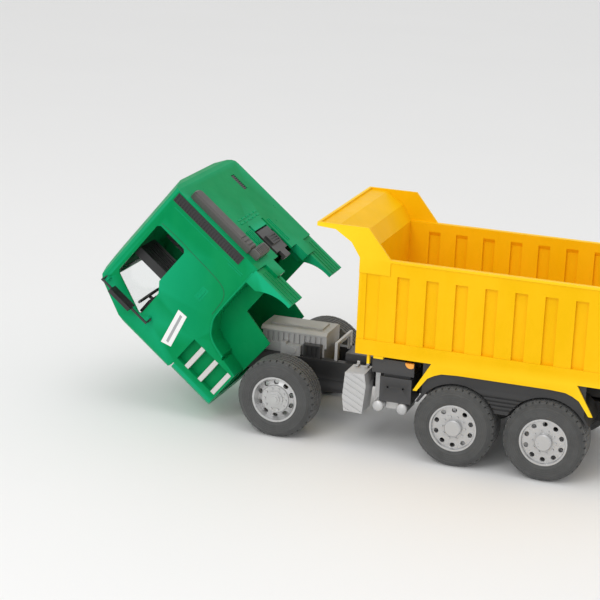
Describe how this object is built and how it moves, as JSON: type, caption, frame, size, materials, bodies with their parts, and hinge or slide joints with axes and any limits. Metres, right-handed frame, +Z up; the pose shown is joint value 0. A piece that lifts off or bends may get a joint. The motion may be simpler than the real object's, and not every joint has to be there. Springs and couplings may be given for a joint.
{
  "type": "toy dump truck",
  "caption": "Three-axle toy dump truck with a forward-tilting cab on an exposed engine and frame, and a rear-tipping corrugated tub with a canopy and a top-hung tailgate.",
  "frame": {"origin": "centre of the footprint at ground level, under the tyres", "axes": "+X to the truck's rear, -X to its cab, +Y to its right side, +Z up"},
  "size_m": [0.5736, 0.1958, 0.2472],
  "materials": {
    "green_plastic": "satin",
    "yellow_plastic": "satin",
    "black_plastic": "matte",
    "dark_plastic": "satin",
    "silver_plastic": "satin",
    "engine_grey": "satin",
    "tyre_rubber": "matte",
    "steel": "satin",
    "clear_plastic": "clear",
    "orange_plastic": "gloss",
    "red_plastic": "gloss"
  },
  "bodies": {
    "chassis": {"chassis_frame": "black_plastic", "chassis_screws": "steel", "cab_pivot_pin": "steel", "tipper_hinge_pin": "steel", "engine_block": "engine_grey", "engine_cover": "engine_grey", "alternator": "silver_plastic", "air_intake_box": "black_plastic", "latch_catch": "silver_plastic", "gearbox": "black_plastic", "fuel_tank": "silver_plastic", "fuel_tank_straps": "silver_plastic", "battery_box": "black_plastic", "air_tank_front": "silver_plastic", "air_tank_rear": "silver_plastic", "air_tank_bracket": "silver_plastic", "exhaust_silencer": "silver_plastic", "wheel_liner_left": "black_plastic", "wheel_liner_right": "black_plastic", "side_lamp_left": "orange_plastic", "side_lamp_right": "orange_plastic", "tail_lamp_left": "red_plastic", "tail_lamp_right": "red_plastic"},
    "front_wheels": {"front_axle": "steel", "front_rim_left": "silver_plastic", "front_rim_right": "silver_plastic", "front_tyre_left": "tyre_rubber", "front_tyre_right": "tyre_rubber"},
    "rear_wheels_1": {"rear_1_axle": "steel", "rear_1_rim_left": "silver_plastic", "rear_1_rim_right": "silver_plastic", "rear_1_tyre_left": "tyre_rubber", "rear_1_tyre_right": "tyre_rubber"},
    "rear_wheels_2": {"rear_2_axle": "steel", "rear_2_rim_left": "silver_plastic", "rear_2_rim_right": "silver_plastic", "rear_2_tyre_left": "tyre_rubber", "rear_2_tyre_right": "tyre_rubber"},
    "cab": {"cab_shell": "green_plastic", "windscreen": "clear_plastic", "grille": "black_plastic", "front_bumper": "green_plastic", "headlamp_left": "clear_plastic", "headlamp_right": "clear_plastic", "dashboard": "black_plastic", "steering_wheel": "dark_plastic", "seats": "black_plastic", "step_strips_left": "silver_plastic", "step_strips_right": "silver_plastic", "side_strip_left": "black_plastic", "side_strip_right": "black_plastic", "snorkel": "dark_plastic", "snorkel_bellows": "dark_plastic"},
    "cab_latch": {"cab_latch": "black_plastic"},
    "mirror_left": {"mirror_left": "black_plastic"},
    "mirror_right": {"mirror_right": "black_plastic"},
    "tub": {"tipper_tub": "yellow_plastic", "tipper_subframe": "black_plastic"},
    "tailgate": {"tailgate": "yellow_plastic"}
  },
  "joints": [
    {"name": "cab_tilt", "type": "hinge", "parent": "chassis", "child": "cab", "pos_m": [-0.16281, 0, 0.0465], "axis": [0, 1, 0], "range_deg": [0, 51]},
    {"name": "cab_latch_lever", "type": "hinge", "parent": "cab", "child": "cab_latch", "pos_m": [-0.14214, 0, 0.18881], "axis": [0, 1, 0], "range_deg": [0, 7]},
    {"name": "mirror_left_fold", "type": "hinge", "parent": "cab", "child": "mirror_left", "pos_m": [-0.25482, -0.0824, 0.12435], "axis": [-0.7771, 0, 0.6293], "range_deg": [-20, 70]},
    {"name": "mirror_right_fold", "type": "hinge", "parent": "cab", "child": "mirror_right", "pos_m": [-0.25482, 0.0824, 0.12435], "axis": [0.7771, 0, -0.6293], "range_deg": [-20, 70]},
    {"name": "tub_tip", "type": "hinge", "parent": "chassis", "child": "tub", "pos_m": [0.25479, 0, 0.092], "axis": [0, 1, 0], "range_deg": [0, 50]},
    {"name": "tailgate_swing", "type": "hinge", "parent": "tub", "child": "tailgate", "pos_m": [0.28239, 0, 0.1961], "axis": [0, -1, 0], "range_deg": [0, 75]},
    {"name": "front_wheels_spin", "type": "hinge", "parent": "chassis", "child": "front_wheels", "pos_m": [-0.08521, 0, 0.041], "axis": [0, 1, 0], "continuous": true},
    {"name": "rear_wheels_1_spin", "type": "hinge", "parent": "chassis", "child": "rear_wheels_1", "pos_m": [0.10349, 0, 0.041], "axis": [0, 1, 0], "continuous": true},
    {"name": "rear_wheels_2_spin", "type": "hinge", "parent": "chassis", "child": "rear_wheels_2", "pos_m": [0.19459, 0, 0.041], "axis": [0, 1, 0], "continuous": true}
  ]
}
